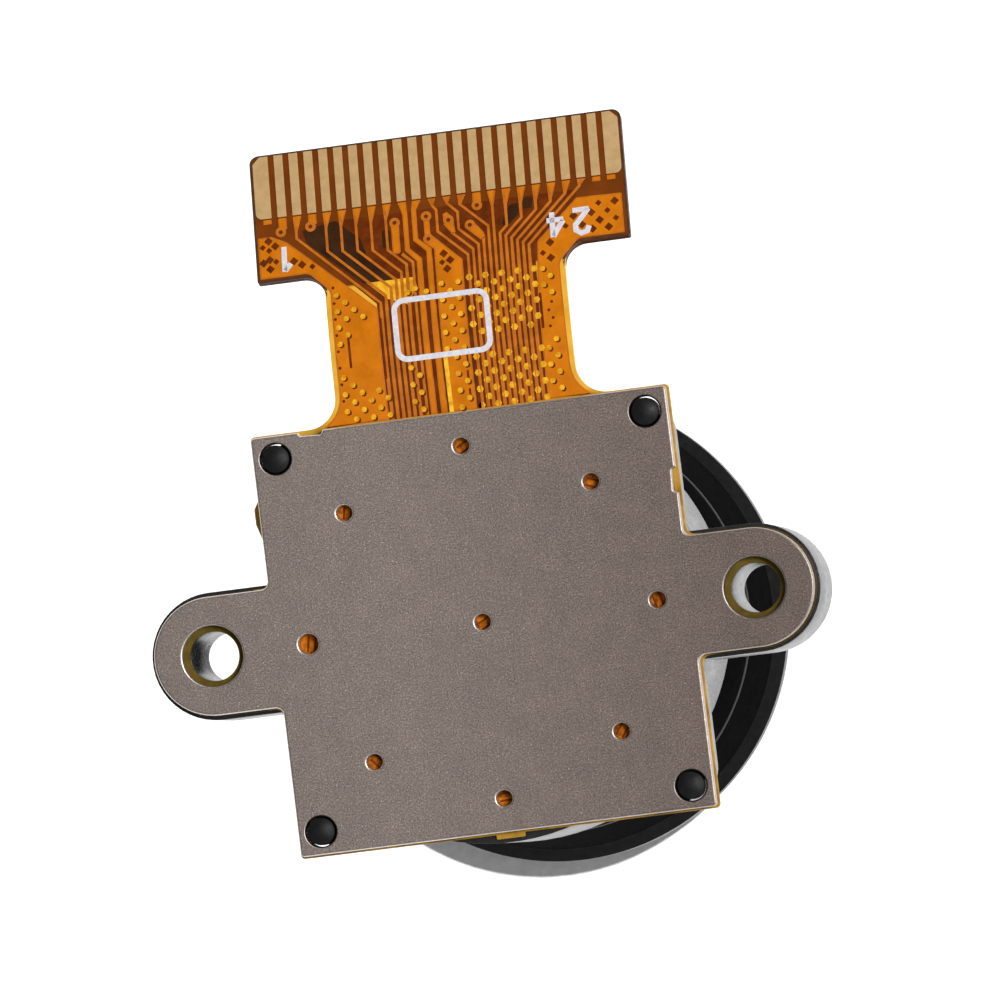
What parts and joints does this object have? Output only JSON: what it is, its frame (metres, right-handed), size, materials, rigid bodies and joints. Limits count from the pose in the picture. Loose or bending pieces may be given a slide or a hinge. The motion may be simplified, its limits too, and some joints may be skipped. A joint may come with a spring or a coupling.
{
  "type": "camera module",
  "caption": "Wide-angle camera module: black threaded lens holder with two screw ears, a stainless back plate and an orange flexible circuit tail with gold contact fingers.",
  "frame": {"origin": "on the optical axis, at the rear face of the stainless plate, midway between the two screw holes of the ears", "axes": "+Z out of the back of the module (the lens looks along -Z), +Y along the flexible tail, X through the two ears"},
  "size_m": [0.0222, 0.0243, 0.0205],
  "materials": {
    "stainless": "fine-grained rolled stainless sheet with bright cut edges",
    "adhesive_film": "amber adhesive film",
    "polyimide": "orange polyimide film with a satin gloss",
    "gold_plate": "dull gold plating",
    "covered_copper": "copper under an orange cover film",
    "polyimide_stiffener": "dark amber laminate",
    "moulded_black": "black moulded plastic with a soft gloss",
    "chip": "dark moulded chip package",
    "cover_glass": "clear cover glass",
    "capacitor": "tan ceramic",
    "filter_glass": "coated blue-green filter glass",
    "black_anodised": "matte black anodised aluminium",
    "lens_glass": "coated optical glass",
    "front_glass": "polished front glass with a blue-green coating",
    "spacer": "black anodised spacer",
    "rubber_seal": "black rubber"
  },
  "bodies": {
    "root": {"stiffener_plate": "stainless", "bonding_film": "adhesive_film", "flex_circuit": "polyimide", "contact_fingers": "gold_plate", "copper_tracks": "covered_copper", "tail_stiffener": "polyimide_stiffener", "lens_holder": "moulded_black", "image_sensor": "chip", "sensor_cover_glass": "cover_glass", "capacitors": "capacitor", "voltage_regulators": "chip", "infrared_filter": "filter_glass", "lens_barrel": "black_anodised", "rear_element": "lens_glass", "rear_spacer": "spacer", "doublet_flint": "lens_glass", "doublet_crown": "lens_glass", "aperture_stop": "spacer", "third_element": "lens_glass", "middle_spacer": "spacer", "second_element": "lens_glass", "front_spacer": "spacer", "front_element": "front_glass", "front_seal": "rubber_seal", "retaining_ring": "black_anodised"}
  },
  "joints": []
}
